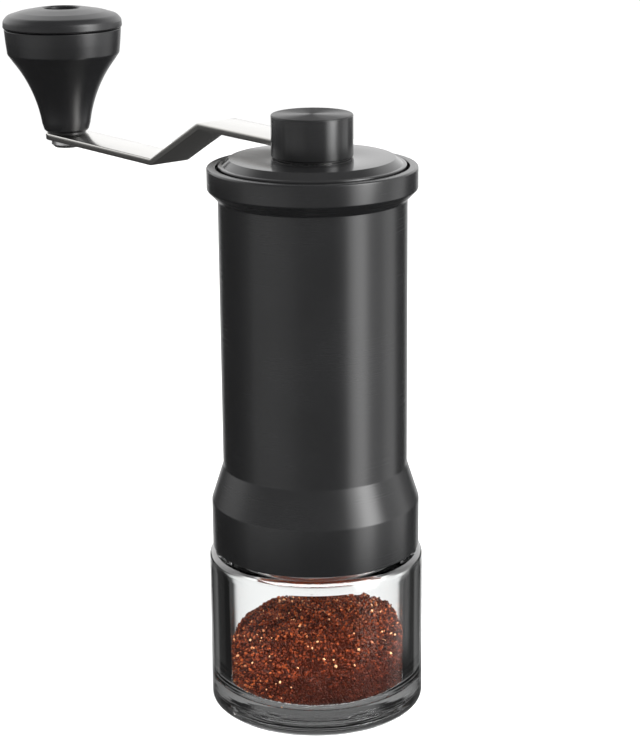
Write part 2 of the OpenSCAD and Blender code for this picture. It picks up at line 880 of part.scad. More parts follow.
module knob_cap() {
    color(black_c)
    translate([pin_x, 0, 0])
    rotate_extrude()
    polygon([[cap_hole_r, knob_seam_z + 0.01], [knob_r - 0.5, knob_seam_z + 0.01],
        [knob_r - 0.15, knob_seam_z + 0.35], [knob_r, knob_seam_z + 1.0],
        [knob_r - 0.05, knob_seam_z + 1.8], [knob_r - 0.3, knob_seam_z + 2.5],
        [knob_r - 0.85, knob_seam_z + 3.2], [knob_r - 1.7, knob_seam_z + 3.8],
        [knob_r - 3.6, knob_seam_z + 4.5], [knob_r - 7.0, knob_seam_z + 5.4],
        [cap_hole_r + 1.6, knob_top_z - 0.12], [cap_hole_r + 0.4, knob_top_z],
        [cap_hole_r, knob_top_z - 0.4]]);
}

module head_washer() {
    color(pom_c)
    translate([pin_x, 0, 0])
    ring(3.03, 6.2, head_z - 0.6, 0.5);
}

module knob_screw() {
    color(steel_c)
    translate([pin_x, 0, 0])
    difference() {
        rotate_extrude()
        polygon([[0, nut_z + 0.7], [2.5, nut_z + 0.7], [2.5, strip_low_z], [3.0, strip_low_z],
            [3.0, head_z - 0.09], [4.9, head_z - 0.09], [4.9, head_z + 2.8],
            [4.3, head_z + 3.4], [0, head_z + 3.4]]);
        hex(4.0, head_z + 1.2, 4);
    }
}

// ---- assembly ------------------------------------------------------------

jar();
jar_gasket();
body_shell();
upper_bridge();
bridge_ring();
upper_outer_race();
upper_inner_race();
upper_balls();
upper_cage();
spacer_sleeve();
burr_carrier();
lower_outer_race();
lower_inner_race();
lower_balls();
lower_cage();
outer_burr();
burr_screw_1();
burr_screw_2();
burr_screw_3();
carrier_ring();
drive_shaft();
shaft_clip();
spring_washer();
burr_spring();
inner_burr();
detent_plate();
dial();
detent_ball();
detent_spring();
end_clip();
lid();
lid_o_ring();
lid_bush();
drive_socket();
socket_clip();
hub_washer();
hub_cap();
crank_arm();
knob_nut();
foot_washer();
knob_sleeve();
knob_body();
knob_cap();
head_washer();
knob_screw();
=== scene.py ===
import bpy
import bmesh
import json
import math
import numpy as np
from mathutils import Matrix, Vector

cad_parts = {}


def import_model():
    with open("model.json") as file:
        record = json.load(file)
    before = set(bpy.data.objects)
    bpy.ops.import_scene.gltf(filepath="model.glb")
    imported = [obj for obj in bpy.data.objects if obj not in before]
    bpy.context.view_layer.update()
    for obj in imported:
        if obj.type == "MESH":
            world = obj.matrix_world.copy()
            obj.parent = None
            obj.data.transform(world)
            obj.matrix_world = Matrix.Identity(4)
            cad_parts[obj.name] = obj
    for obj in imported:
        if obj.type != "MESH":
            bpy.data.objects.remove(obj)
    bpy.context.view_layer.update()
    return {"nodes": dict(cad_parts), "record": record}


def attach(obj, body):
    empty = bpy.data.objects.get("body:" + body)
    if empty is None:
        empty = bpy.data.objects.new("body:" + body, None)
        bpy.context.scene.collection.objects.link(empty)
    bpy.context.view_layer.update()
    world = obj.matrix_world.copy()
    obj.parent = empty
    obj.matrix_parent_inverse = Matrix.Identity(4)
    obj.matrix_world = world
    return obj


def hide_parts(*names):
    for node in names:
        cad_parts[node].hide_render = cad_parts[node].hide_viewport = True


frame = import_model()

MM = 0.001
ARM_TURN = math.radians(51.87)      # the photo's camera stands this far round from -Y
PIN_X = -121.5


# ---------------------------------------------------------------- mesh helpers

def finish_mesh(name, verts, faces, sharp=32, smooth=True):
    """A mesh object with smooth faces and sharp edges above an angle in degrees."""
    me = bpy.data.meshes.new(name)
    me.from_pydata([tuple(v) for v in verts], [], faces)
    me.validate()
    bm = bmesh.new()
    bm.from_mesh(me)
    bmesh.ops.recalc_face_normals(bm, faces=bm.faces)
    for f in bm.faces:
        f.smooth = smooth
    for e in bm.edges:
        if len(e.link_faces) == 2:
            e.smooth = e.calc_face_angle(0) < math.radians(sharp)
    bm.to_mesh(me)
    bm.free()
    ob = bpy.data.objects.new(name, me)
    bpy.context.scene.collection.objects.link(ob)
    return ob


def add_piece(ob, body, material, nodes=()):
    ob.data.materials.clear()
    ob.data.materials.append(material)
    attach(ob, body)
    if nodes:
        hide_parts(*nodes)
    return ob


def rounded(points, steps=5):
    """Profile points (r, z, radius) in mm: each corner with a radius becomes an arc."""
    out = []
    n = len(points)
    for i, p in enumerate(points):
        rad = p[2] if len(p) > 2 else 0
        if rad <= 0:
            out.append((p[0], p[1]))
            continue
        a = Vector(points[i - 1][:2])
        b = Vector(p[:2])
        c = Vector(points[(i + 1) % n][:2])
        u = (a - b).normalized()
        w = (c - b).normalized()
        half = u.angle(w) / 2
        reach = min(rad / math.tan(half), (a - b).length * 0.49, (c - b).length * 0.49)
        rad = reach * math.tan(half)
        centre = b + (u + w).normalized() * (rad / math.sin(half))
        s = b + u * reach - centre
        e = b + w * reach - centre
        a0 = math.atan2(s.y, s.x)
        turn = math.atan2(e.y, e.x) - a0
        turn = (turn + math.pi) % (2 * math.pi) - math.pi
        for k in range(steps + 1):
            t = a0 + turn * k / steps
            out.append((centre.x + rad * math.cos(t), centre.y + rad * math.sin(t)))
    return out


def lathe(name, profile, seg=160, x=0.0, sharp=32, bump=None):
    """Turns a closed profile of (r, z) in mm round a vertical axis at x."""
    verts, rings = [], []
    for i, (r, z) in enumerate(profile):
        if r < 1e-6:
            rings.append([len(verts)])
            verts.append((x * MM, 0, z * MM))
            continue
        ring = []
        for k in range(seg):
            t = 2 * math.pi * k / seg
            q = r + (bump(t, r, z) if bump else 0)
            ring.append(len(verts))
            verts.append(((x + q * math.cos(t)) * MM, q * math.sin(t) * MM, z * MM))
        rings.append(ring)
    faces = []
    n = len(rings)
    for i in range(n):
        a, b = rings[i], rings[(i + 1) % n]
        if len(a) == 1 and len(b) == 1:
            continue
        for k in range(seg):
            j = (k + 1) % seg
            if len(a) == 1:
                faces.append((a[0], b[j], b[k]))
            elif len(b) == 1:
                faces.append((a[k], a[j], b[0]))
            else:
                faces.append((a[k], a[j], b[j], b[k]))
    return finish_mesh(name, verts, faces, sharp)


def sweep(name, path, radius, sides=12, closed=False):
    """A round wire of that radius along path, both in mm."""
    pts = [Vector(p) for p in path]
    verts, faces = [], []
    n = len(pts)
    up = Vector((0, 0, 1))
    for i, p in enumerate(pts):
        d = (pts[min(i + 1, n - 1)] - pts[max(i - 1, 0)]).normalized()
        side = d.cross(up).normalized()
        top = side.cross(d).normalized()
        for k in range(sides):
            t = 2 * math.pi * k / sides
            q = p + side * (radius * math.cos(t)) + top * (radius * math.sin(t))
            verts.append(q * MM)
    for i in range(n - 1):
        for k in range(sides):
            j = (k + 1) % sides
            faces.append((i * sides + k, i * sides + j, (i + 1) * sides + j, (i + 1) * sides + k))
    faces.append(tuple(range(sides)))
    faces.append(tuple(range((n - 1) * sides, n * sides)))
    return finish_mesh(name, verts, faces, 50)


def smooth(t):
    """Rises from 0 to 1 with flat ends while t goes from 0 to 1."""
    t = min(1.0, max(0.0, t))
    return t * t * (3 - 2 * t)


def helix(r, z0, z1, turns, per_turn, a0=0.0):
    steps = int(turns * per_turn)
    return [(r * math.cos(a0 + 2 * math.pi * i / per_turn),
             r * math.sin(a0 + 2 * math.pi * i / per_turn),
             z0 + (z1 - z0) * i / steps) for i in range(steps + 1)]


# ---------------------------------------------------------------- materials

class Shader:
    """A material with one Principled shader and short calls for its nodes."""

    def __init__(self, name, colour, rough, metal=0.0, spec=0.5):
        self.mat = bpy.data.materials.new(name)
        self.mat.use_nodes = True
        self.nt = self.mat.node_tree
        self.bsdf = self.nt.nodes["Principled BSDF"]
        self.bsdf.inputs["Base Color"].default_value = (*colour, 1)
        self.bsdf.inputs["Roughness"].default_value = rough
        self.bsdf.inputs["Metallic"].default_value = metal
        self.bsdf.inputs["Specular IOR Level"].default_value = spec
        self.coord = self.nt.nodes.new("ShaderNodeTexCoord").outputs["Object"]
        self.normal = None

    def link(self, a, b):
        self.nt.links.new(a, b)

    def scaled(self, scale, coord=None):
        m = self.nt.nodes.new("ShaderNodeMapping")
        m.inputs["Scale"].default_value = scale
        self.link(coord or self.coord, m.inputs["Vector"])
        return m.outputs["Vector"]

    def noise(self, scale, detail=3.0, rough=0.5, coord=None, stretch=(1, 1, 1)):
        n = self.nt.nodes.new("ShaderNodeTexNoise")
        n.inputs["Scale"].default_value = scale
        n.inputs["Detail"].default_value = detail
        n.inputs["Roughness"].default_value = rough
        src = coord or self.coord
        if stretch != (1, 1, 1):
            src = self.scaled(stretch, src)
        self.link(src, n.inputs["Vector"])
        return n.outputs["Fac"]

    def polar(self, x=0.0):
        """A coordinate: X is the distance from the vertical axis at x (m), Z the height."""
        sep = self.nt.nodes.new("ShaderNodeSeparateXYZ")
        shift = self.nt.nodes.new("ShaderNodeVectorMath")
        shift.operation = "SUBTRACT"
        shift.inputs[1].default_value = (x, 0, 0)
        self.link(self.coord, shift.inputs[0])
        self.link(shift.outputs[0], sep.inputs[0])
        flat = self.nt.nodes.new("ShaderNodeCombineXYZ")
        self.link(sep.outputs["X"], flat.inputs["X"])
        self.link(sep.outputs["Y"], flat.inputs["Y"])
        length = self.nt.nodes.new("ShaderNodeVectorMath")
        length.operation = "LENGTH"
        self.link(flat.outputs[0], length.inputs[0])
        out = self.nt.nodes.new("ShaderNodeCombineXYZ")
        self.link(length.outputs["Value"], out.inputs["X"])
        self.link(sep.outputs["Z"], out.inputs["Z"])
        return out.outputs[0]

    def remap(self, value, lo, hi, out_lo, out_hi):
        m = self.nt.nodes.new("ShaderNodeMapRange")
        m.inputs["From Min"].default_value = lo
        m.inputs["From Max"].default_value = hi
        m.inputs["To Min"].default_value = out_lo
        m.inputs["To Max"].default_value = out_hi
        self.link(value, m.inputs["Value"])
        return m.outputs["Result"]

    def add(self, a, b, op="ADD"):
        m = self.nt.nodes.new("ShaderNodeMath")
        m.operation = op
        self.link(a, m.inputs[0])
        if isinstance(b, (int, float)):
            m.inputs[1].default_value = b
        else:
            self.link(b, m.inputs[1])
        return m.outputs[0]

    def roughness(self, value, lo, hi, out_lo, out_hi):
        self.link(self.remap(value, lo, hi, out_lo, out_hi), self.bsdf.inputs["Roughness"])

    def colour(self, value, stops):
        ramp = self.nt.nodes.new("ShaderNodeValToRGB")
        els = ramp.color_ramp.elements
        while len(els) < len(stops):
            els.new(0.5)
        for el, (pos, col) in zip(els, stops):
            el.position = pos
            el.color = (*col, 1)
        self.link(value, ramp.inputs["Fac"])
        self.link(ramp.outputs["Color"], self.bsdf.inputs["Base Color"])

    def bump(self, value, strength, distance):
        b = self.nt.nodes.new("ShaderNodeBump")
        b.inputs["Strength"].default_value = strength
        b.inputs["Distance"].default_value = distance
        self.link(value, b.inputs["Height"])
        if self.normal:
            self.link(self.normal, b.inputs["Normal"])
        self.normal = b.outputs["Normal"]
        self.link(self.normal, self.bsdf.inputs["Normal"])

    def brushed_round(self, amount, turn=0.25):
        self.bsdf.inputs["Anisotropic"].default_value = amount
        self.bsdf.inputs["Anisotropic Rotation"].default_value = turn
        t = self.nt.nodes.new("ShaderNodeTangent")
        t.direction_type = "RADIAL"
        t.axis = "Z"
        self.link(t.outputs["Tangent"], self.bsdf.inputs["Tangent"])


def turned_black(name, base, rough, aniso, lines=0.004, spread=0.008, spun_top=None):
    """Satin anodised aluminium with fine lathe rings and a faint bead-blasted grain."""
    s = Shader(name, base, rough)
    polar = s.polar()
    rings = s.noise(1.0, 4, 0.65, polar, (5200, 1, 5200))
    broad = s.noise(55, 2, 0.5)
    grain = s.noise(5200, 2, 0.6)
    mixed = s.add(s.add(rings, 0.6, "MULTIPLY"), s.add(broad, 0.4, "MULTIPLY"))
    fine = s.remap(mixed, 0.3, 0.7, rough - spread, rough + spread)
    if spun_top:
        sep = s.nt.nodes.new("ShaderNodeSeparateXYZ")
        s.link(s.coord, sep.inputs[0])
        fine = s.add(fine, s.remap(sep.outputs["Z"], spun_top, spun_top + 0.0004, 0.0, 0.26))
    s.link(fine, s.bsdf.inputs["Roughness"])
    s.colour(broad, [(0.35, tuple(c * 0.86 for c in base)), (0.7, tuple(c * 1.14 for c in base))])
    s.bump(grain, 0.10, 0.00002)
    s.bump(rings, lines, 0.00002)
    s.brushed_round(aniso)
    return s.mat


def metal(name, base, rough, scale=(900, 900, 900), bump=0.1):
    """Machined or ground bright metal."""
    s = Shader(name, base, rough, 1.0)
    lines = s.noise(1.0, 3, 0.6, None, scale)
    cloud = s.noise(140, 3)
    both = s.add(s.add(lines, 0.5, "MULTIPLY"), s.add(cloud, 0.5, "MULTIPLY"))
    s.roughness(both, 0.3, 0.7, rough - 0.06, rough + 0.08)
    s.colour(cloud, [(0.3, tuple(c * 0.9 for c in base)),
                     (0.7, tuple(min(1, c * 1.06) for c in base))])
    s.bump(lines, bump, 0.00002)
    return s.mat


BLACK = turned_black("black_anodised", (0.0065, 0.0066, 0.0070), 0.27, 0.35)
LID_BLACK = turned_black("satin_black_lid", (0.0085, 0.0085, 0.0088), 0.17, 0.2, 0.02, 0.012)
HUB_BLACK = turned_black("spun_black_hub", (0.0075, 0.0075, 0.0078), 0.24, 0.9, 0.03, 0.012,
                         spun_top=0.1632)


def glass_material():
    s = Shader("clear_glass", (0.985, 0.995, 0.992), 0.0)
    s.bsdf.inputs["Transmission Weight"].default_value = 1.0
    s.bsdf.inputs["IOR"].default_value = 1.5
    # chosen for the look: the straight wall hardly mirrors, the foot and shoulder do
    sep = s.nt.nodes.new("ShaderNodeSeparateXYZ")
    s.link(s.coord, sep.inputs[0])
    edge = s.nt.nodes.new("ShaderNodeValToRGB")
    els = edge.color_ramp.elements
    while len(els) < 6:
        els.new(0.5)
    for el, (z, v) in zip(els, [(0, 1), (4, 1), (8, 0.03), (41, 0.03), (43, 1), (60, 1)]):
        el.position = z / 60
        el.color = (v, v, v, 1)
    s.link(s.remap(sep.outputs["Z"], 0, 0.06, 0, 1), edge.inputs["Fac"])
    s.link(edge.outputs["Color"], s.bsdf.inputs["Specular Tint"])
    s.link(s.remap(edge.outputs["Color"], 0.05, 1, 0, 0.6), s.bsdf.inputs["Coat Weight"])
    s.bsdf.inputs["Coat Roughness"].default_value = 0.03
    s.bsdf.inputs["Coat IOR"].default_value = 2.2
    wave = s.noise(60, 1, 0.4)
    s.bump(wave, 0.03, 0.0004)
    rings = s.noise(1.0, 2, 0.6, s.polar(), (150, 1, 950))
    s.bump(s.add(rings, s.remap(edge.outputs["Color"], 0.05, 1, 0, 1), "MULTIPLY"), 0.55, 0.0003)
    return s.mat


def steel_strip():
    s = Shader("brushed_steel_strip", (0.56, 0.55, 0.53), 0.18, 1.0)
    lines = s.noise(1.0, 4, 0.7, None, (70, 5200, 5200))
    cloud = s.noise(90, 3)
    both = s.add(s.add(lines, 0.7, "MULTIPLY"), s.add(cloud, 0.3, "MULTIPLY"))
    s.roughness(both, 0.3, 0.7, 0.14, 0.22)
    s.colour(lines, [(0.25, (0.52, 0.51, 0.49)), (0.75, (0.60, 0.59, 0.57))])
    s.bump(lines, 0.08, 0.00002)
    return s.mat


def satin_plastic(name, grain_depth):
    s = Shader(name, (0.0055, 0.0055, 0.006), 0.32)
    grain = s.noise(3800, 2, 0.55)
    broad = s.noise(70, 2)
    s.roughness(broad, 0.3, 0.7, 0.30, 0.37)
    s.colour(broad, [(0.3, (0.0048, 0.0048, 0.0052)), (0.7, (0.0066, 0.0066, 0.0073))])
    s.bump(grain, grain_depth, 0.00003)
    return s.mat


def rubber():
    s = Shader("black_rubber", (0.014, 0.014, 0.014), 0.62)
    grain = s.noise(2600, 3)
    s.roughness(grain, 0.3, 0.7, 0.55, 0.70)
    s.colour(grain, [(0.3, (0.011, 0.011, 0.011)), (0.7, (0.020, 0.020, 0.020))])
    s.bump(grain, 0.3, 0.00004)
    return s.mat


def bearing_plastic():
    s = Shader("black_pom", (0.012, 0.012, 0.012), 0.36)
    grain = s.noise(900, 3)
    s.roughness(grain, 0.3, 0.7, 0.32, 0.42)
    s.colour(grain, [(0.3, (0.009, 0.009, 0.009)), (0.7, (0.015, 0.015, 0.015))])
    s.bump(grain, 0.12, 0.00003)
    return s.mat


def coffee_material():
    s = Shader("coffee_grounds", (0.05, 0.02, 0.01), 0.48, 0.0, 0.18)
    attr = s.nt.nodes.new("ShaderNodeAttribute")
    attr.attribute_name = "tint"
    # the ramp's top stop at 1.0 is a painted glint colour, given to a few grains below
    s.colour(attr.outputs["Fac"], [
        (0.0, (0.012, 0.0024, 0.0012)), (0.3, (0.060, 0.0095, 0.0032)),
        (0.6, (0.165, 0.0280, 0.0078)), (0.85, (0.36, 0.082, 0.021)), (1.0, (0.80, 0.42, 0.21))])
    pit = s.noise(4200, 3, 0.6)
    s.roughness(pit, 0.3, 0.7, 0.36, 0.62)
    s.bump(pit, 0.35, 0.00006)
    return s.mat


GLASS = glass_material()
STRIP = steel_strip()
PLASTIC = satin_plastic("black_plastic", 0.22)
CAP_PLASTIC = satin_plastic("black_plastic_cap", 0.06)
RUBBER = rubber()
POM = bearing_plastic()
COFFEE = coffee_material()
STEEL = metal("brushed_steel", (0.55, 0.55, 0.55), 0.26, (1500, 1500, 5000))
TOOL_STEEL = metal("tool_steel", (0.36, 0.365, 0.37), 0.36, (2500, 2500, 2500), 0.2)
SPRING_STEEL = metal("spring_steel", (0.58, 0.585, 0.60), 0.2, (2000, 2000, 2000))
BARE_ALU = metal("bare_aluminium", (0.66, 0.67, 0.68), 0.33, (2200, 2200, 6000), 0.14)
BRONZE = metal("bronze", (0.55, 0.36, 0.14), 0.30, (1800, 1800, 5200), 0.12)

NODE_MATERIALS = {
    "black_anodised": BLACK, "bare_aluminium": BARE_ALU,
    "brushed_steel": STEEL, "tool_steel": TOOL_STEEL, "spring_steel": SPRING_STEEL,
    "bronze": BRONZE, "black_rubber": RUBBER, "black_plastic": PLASTIC, "black_pom": POM,
    "clear_glass": GLASS}

for part in frame["record"]["subparts"]:
    node = frame["nodes"][part["node"]]
    node.data.materials.clear()
    node.data.materials.append(NODE_MATERIALS[part["material_slot"]])
    for face in node.data.polygons:
        face.use_smooth = True
    bm = bmesh.new()
    bm.from_mesh(node.data)
    for e in bm.edges:
        if len(e.link_faces) == 2:
            e.smooth = e.calc_face_angle(0) < math.radians(28)
    bm.to_mesh(node.data)
    bm.free()


# ---------------------------------------------------------------- jar

THREAD_LEAD = 6.0
THREAD_Z = 47.0
NECK_R, NECK_BORE, NECK_TOP = 24.9, 22.4, 56.0
NECK_CREST = 25.85
JAR_R, JAR_BORE = 29.25, 24.45
SHOULDER_Z = 44.5
JAR_FLOOR = 5.8


def thread_bump(t, r, z):
    """Height of the jar's two thread ridges above the neck, at angle t and height z."""
    if abs(r - NECK_R) > 0.01:
        return 0.0
    best = 0.0
    for start in (0.0, math.pi):
        a = (t - start) % (2 * math.pi)
        d = abs(z - (THREAD_Z + THREAD_LEAD * a / (2 * math.pi)))
        fade = smooth(min(a, 2 * math.pi - a) / 0.45)
        best = max(best, smooth((0.62 - d) / 0.34) * fade)
    return best * (NECK_CREST - NECK_R)


def neck_rows(z0, z1, step):
    n = int((z1 - z0) / step)
    return [(NECK_R, z0 + (z1 - z0) * i / n) for i in range(n + 1)]


jar_profile = rounded([
    (0, 0.35), (18.5, 0.35, 1.0), (20.2, 0.0, 1.2), (24.6, 0.0, 2.0), (JAR_R, 0, 3.4),
    (JAR_R, SHOULDER_Z, 2.0), (24.95, SHOULDER_Z, 0.5)], 8)
jar_profile += neck_rows(45.2, 54.6, 0.14)
jar_profile += rounded([
    (NECK_R, 54.9), (NECK_R, NECK_TOP, 0.7), (NECK_BORE, NECK_TOP, 0.7),
    (NECK_BORE, SHOULDER_Z, 2.5), (JAR_BORE, 41.3, 2.5), (JAR_BORE, JAR_FLOOR, 4.2),
    (0, JAR_FLOOR)], 8)
jar = lathe("jar_glass", jar_profile, 224, bump=thread_bump)
add_piece(jar, "jar", GLASS, ["jar"])
jar.visible_shadow = False


# ---------------------------------------------------------------- coffee in the jar

COFFEE_R = 24.35
BEND_Z, BEND_R = 9.8, 4.0     # where the jar's inside turns into its floor
CORE_GAP, CORE_DROP = 0.55, 0.45   # the core's skin lies this far inside the grains
BED_Z = 6.3
GRAIN_PITCH = 0.70
GRAIN_FLOOR = 5.95


def wall_r(z):
    """Radius of the jar's inside, a little slack, at height z."""
    if z >= BEND_Z:
        return COFFEE_R
    return COFFEE_R - BEND_R + math.sqrt(max(0.0, BEND_R ** 2 - (BEND_Z - z) ** 2))


def to_photo(x, y):
    """Turns a point of the row frame into the frame whose -Y is towards the photo's camera."""
    c, s = math.cos(-ARM_TURN), math.sin(-ARM_TURN)
    return x * c - y * s, x * s + y * c


def heap(x, y):
    px, py = to_photo(x, y)
    ripple = 0.45 * math.sin(px * 0.41 + 1.3) * math.cos(py * 0.37 - 0.6)
    ripple += 0.22 * math.sin(px * 0.93 - py * 0.71 + 0.4)
    low_left = 2.4 * smooth((-px - 10) / 14)
    return 22.6 + 0.083 * py - 0.0087 * py * py + 0.03 * px - 0.0012 * px * px + ripple - low_left


def in_shade(x, y, z):
    """How much of a grain's colour is left: darker low down on the photo's right."""
    px, _ = to_photo(x, y)
    return 1 - 0.7 * smooth((px + 18) / 20) * smooth((24 - z) / 14)


def coffee_core():
    """The heap under the loose grains: a closed skin just inside them."""
    seg, rows = 96, 22
    verts, faces, rings = [], [], []
    for k in range(8):
        z = BED_Z + (BEND_Z - BED_Z) * k / 7
        r = wall_r(z) - CORE_GAP
        rings.append([(r * math.cos(2 * math.pi * j / seg),
                       r * math.sin(2 * math.pi * j / seg), z) for j in range(seg)])
    for i in range(rows + 1):
        q = (COFFEE_R - CORE_GAP) * (1 - i / (rows + 1))
        ring = []
        for j in range(seg):
            x, y = q * math.cos(2 * math.pi * j / seg), q * math.sin(2 * math.pi * j / seg)
            ring.append((x, y, heap(x, y) - CORE_DROP))
        rings.append(ring)
    for ring in rings:
        verts += ring
    for i in range(len(rings) - 1):
        for j in range(seg):
            k = (j + 1) % seg
            faces.append((i * seg + j, i * seg + k, (i + 1) * seg + k, (i + 1) * seg + j))
    top = len(verts)
    verts.append((0, 0, heap(0, 0) - CORE_DROP))
    last = (len(rings) - 1) * seg
    for j in range(seg):
        faces.append((last + j, last + (j + 1) % seg, top))
    faces.append(tuple(reversed(range(seg))))
    return [tuple(c * MM for c in v) for v in verts], faces


def grain_centres(rng):
    """Places for the grains: against the glass, on the floor's edge and over the heap."""
    out = []
    pitch = GRAIN_PITCH
    rows = int(18 / pitch)
    for i in range(rows):
        for j in range(int(2 * math.pi * COFFEE_R / pitch)):
            t = (j + 0.5 * (i % 2) + rng.uniform(-0.3, 0.3)) * pitch / COFFEE_R
            z = 6.5 + (i + rng.uniform(-0.35, 0.35)) * pitch
            r = wall_r(z) - rng.uniform(0.42, 0.62)
            x, y = r * math.cos(t), r * math.sin(t)
            if z < heap(x, y) + 0.1:
                out.append((x, y, z))
    n = int(2 * COFFEE_R / pitch) + 2
    for i in range(n):
        for j in range(n):
            x = (i - n / 2 + rng.uniform(-0.4, 0.4)) * pitch
            y = (j - n / 2 + 0.5 * (i % 2) + rng.uniform(-0.4, 0.4)) * pitch
            if math.hypot(x, y) < COFFEE_R - 0.5:
                out.append((x, y, heap(x, y) - rng.uniform(0.0, 0.35)))
    return np.array(out)


def coffee_grains():
    rng = np.random.default_rng(7)
    centres = grain_centres(rng)
    n = len(centres)
    g = (1 + 5 ** 0.5) / 2
    ico = np.array([(-1, g, 0), (1, g, 0), (-1, -g, 0), (1, -g, 0), (0, -1, g), (0, 1, g),
                    (0, -1, -g), (0, 1, -g), (g, 0, -1), (g, 0, 1), (-g, 0, -1), (-g, 0, 1)], float)
    ico /= np.linalg.norm(ico[0])
    tris = np.array([(0, 11, 5), (0, 5, 1), (0, 1, 7), (0, 7, 10), (0, 10, 11), (1, 5, 9),
                     (5, 11, 4), (11, 10, 2), (10, 7, 6), (7, 1, 8), (3, 9, 4), (3, 4, 2),
                     (3, 2, 6), (3, 6, 8), (3, 8, 9), (4, 9, 5), (2, 4, 11), (6, 2, 10),
                     (8, 6, 7), (9, 8, 1)])
    shape = ico[None] * rng.uniform(0.72, 1.18, (n, 12, 1))
    shape *= rng.uniform(0.55, 1.15, (n, 1, 3))
    q = rng.normal(size=(n, 4))
    q /= np.linalg.norm(q, axis=1)[:, None]
    w, x, y, z = q.T
    rot = np.stack([
        np.stack([1 - 2 * (y * y + z * z), 2 * (x * y - z * w), 2 * (x * z + y * w)], 1),
        np.stack([2 * (x * y + z * w), 1 - 2 * (x * x + z * z), 2 * (y * z - x * w)], 1),
        np.stack([2 * (x * z - y * w), 2 * (y * z + x * w), 1 - 2 * (x * x + y * y)], 1)], 1)
    size = rng.lognormal(math.log(0.40), 0.22, n).clip(0.22, 0.62)
    pts = np.einsum("nij,nkj->nki", rot, shape) * size[:, None, None] + centres[:, None, :]
    r = np.hypot(pts[..., 0], pts[..., 1])
    limit = np.vectorize(wall_r)(pts[..., 2].clip(6.0, 40)) + 0.05
    k = np.minimum(1.0, limit / np.maximum(r, 1e-6))
    pts[..., 0] *= k
    pts[..., 1] *= k
    pts[..., 2] = pts[..., 2].clip(GRAIN_FLOOR, None)
    faces = (tris[None] + 12 * np.arange(n)[:, None, None]).reshape(-1, 3)
    me = bpy.data.meshes.new("coffee_grains")
    me.from_pydata((pts.reshape(-1, 3) * MM).tolist(), [], faces.tolist())
    shade = np.array([in_shade(*c) for c in centres])
    tint = np.repeat(rng.beta(1.6, 2.4, n) * shade, 20)
    tint = (tint + rng.normal(0, 0.05, len(tint))).clip(0, 1)
    # painted glints: a few grains outside the painted shade get the ramp's brightest colour
    painted_glint = np.repeat((rng.random(n) < 0.014) & (shade > 0.6), 20)
    tint[painted_glint] = 1.0
    attr = me.attributes.new("tint", "FLOAT", "FACE")
    attr.data.foreach_set("value", tint.astype(np.float32))
    ob = bpy.data.objects.new("coffee_grains", me)
    bpy.context.scene.collection.objects.link(ob)
    return ob


core_verts, core_faces = coffee_core()
core = finish_mesh("coffee_core", core_verts, core_faces, 60)
core_tint = core.data.attributes.new("tint", "FLOAT", "FACE")
core_tint.data.foreach_set("value", np.full(len(core.data.polygons), 0.12, np.float32))
add_piece(core, "jar", COFFEE)
grains = coffee_grains()
add_piece(grains, "jar", COFFEE)


# ---------------------------------------------------------------- housing

TUBE_R, SKIRT_R, RIM_R = 25.0, 28.25, 27.8
HOPPER_R, CARRIER_R = 23.0, 22.5
SKIRT_BORE, RIDGE_CREST = 26.3, 25.4
SKIRT_END = 45.65
RIM_TOP, RECESS_Z, RECESS_R = 150.3, 147.5, 25.5

shell = lathe("housing_shell", rounded([
    (HOPPER_R, 104.0), (HOPPER_R, 110.6), (23.8, 110.6), (23.8, 111.7), (HOPPER_R, 111.7),
    (HOPPER_R, RECESS_Z, 0.25), (RECESS_R, RECESS_Z, 0.2), (RECESS_R, RIM_TOP, 0.3),
    (RIM_R, RIM_TOP, 0.55), (RIM_R, 144.5, 0.8), (TUBE_R, 141.6, 0.4),
    (TUBE_R, 68.85, 1.6), (SKIRT_R, 58.75, 1.6), (SKIRT_R, SKIRT_END, 0.45),
    (SKIRT_BORE, SKIRT_END, 0.35), (SKIRT_BORE, 57.6), (CARRIER_R, 57.6, 0.2),
    (CARRIER_R, 60.7), (23.4, 60.7), (23.4, 61.8), (CARRIER_R, 61.8), (CARRIER_R, 93.0),
    (21.5, 93.0), (21.5, 104.0)], 6), 224)
add_piece(shell, "housing", BLACK, ["body_shell"])


def thread_ridge(name, root, crest, z0, a0):
    """One rounded ridge of the jar thread inside the skirt."""
    steps, verts, faces = 96, [], []
    section = [(-0.62, 0.0), (-0.40, 0.55), (-0.2, 0.92), (0.0, 1.0),
               (0.2, 0.92), (0.40, 0.55), (0.62, 0.0)]
    inward = 1 if crest < root else -1
    m = len(section) + 1
    for i in range(steps + 1):
        t = i / steps
        a = a0 + 2 * math.pi * t
        z = z0 + THREAD_LEAD * t
        fade = smooth(min(t, 1 - t) / 0.07)
        ring = [(root + 0.3 * inward, z)]
        for dz, h in section:
            sunk = 0.15 * inward * (1 - fade)
            ring.append((root + (crest - root) * h * fade + sunk, z + dz))
        for r, zz in ring:
            verts.append((r * math.cos(a) * MM, r * math.sin(a) * MM, zz * MM))
    for i in range(steps):
        for k in range(m):
            j = (k + 1) % m
            faces.append((i * m + k, i * m + j, (i + 1) * m + j, (i + 1) * m + k))
    faces.append(tuple(range(m)))
    faces.append(tuple(range(steps * m, (steps + 1) * m)))
    return finish_mesh(name, verts, faces, 50)


for k in range(2):
    ridge = thread_ridge(f"skirt_thread_{k + 1}", SKIRT_BORE, RIDGE_CREST,
                         THREAD_Z + THREAD_LEAD / 4, math.pi * k)
    add_piece(ridge, "housing", BLACK)


# ---------------------------------------------------------------- lid and hub

LID_BORE, SPIGOT_R, FLANGE_R = 9.5, 22.7, 24.75
FLANGE_TOP, LID_TOP = 150.75, 152.4
HUB_R, HUB_LOW, HUB_TOP = 10.8, 152.8, 163.8

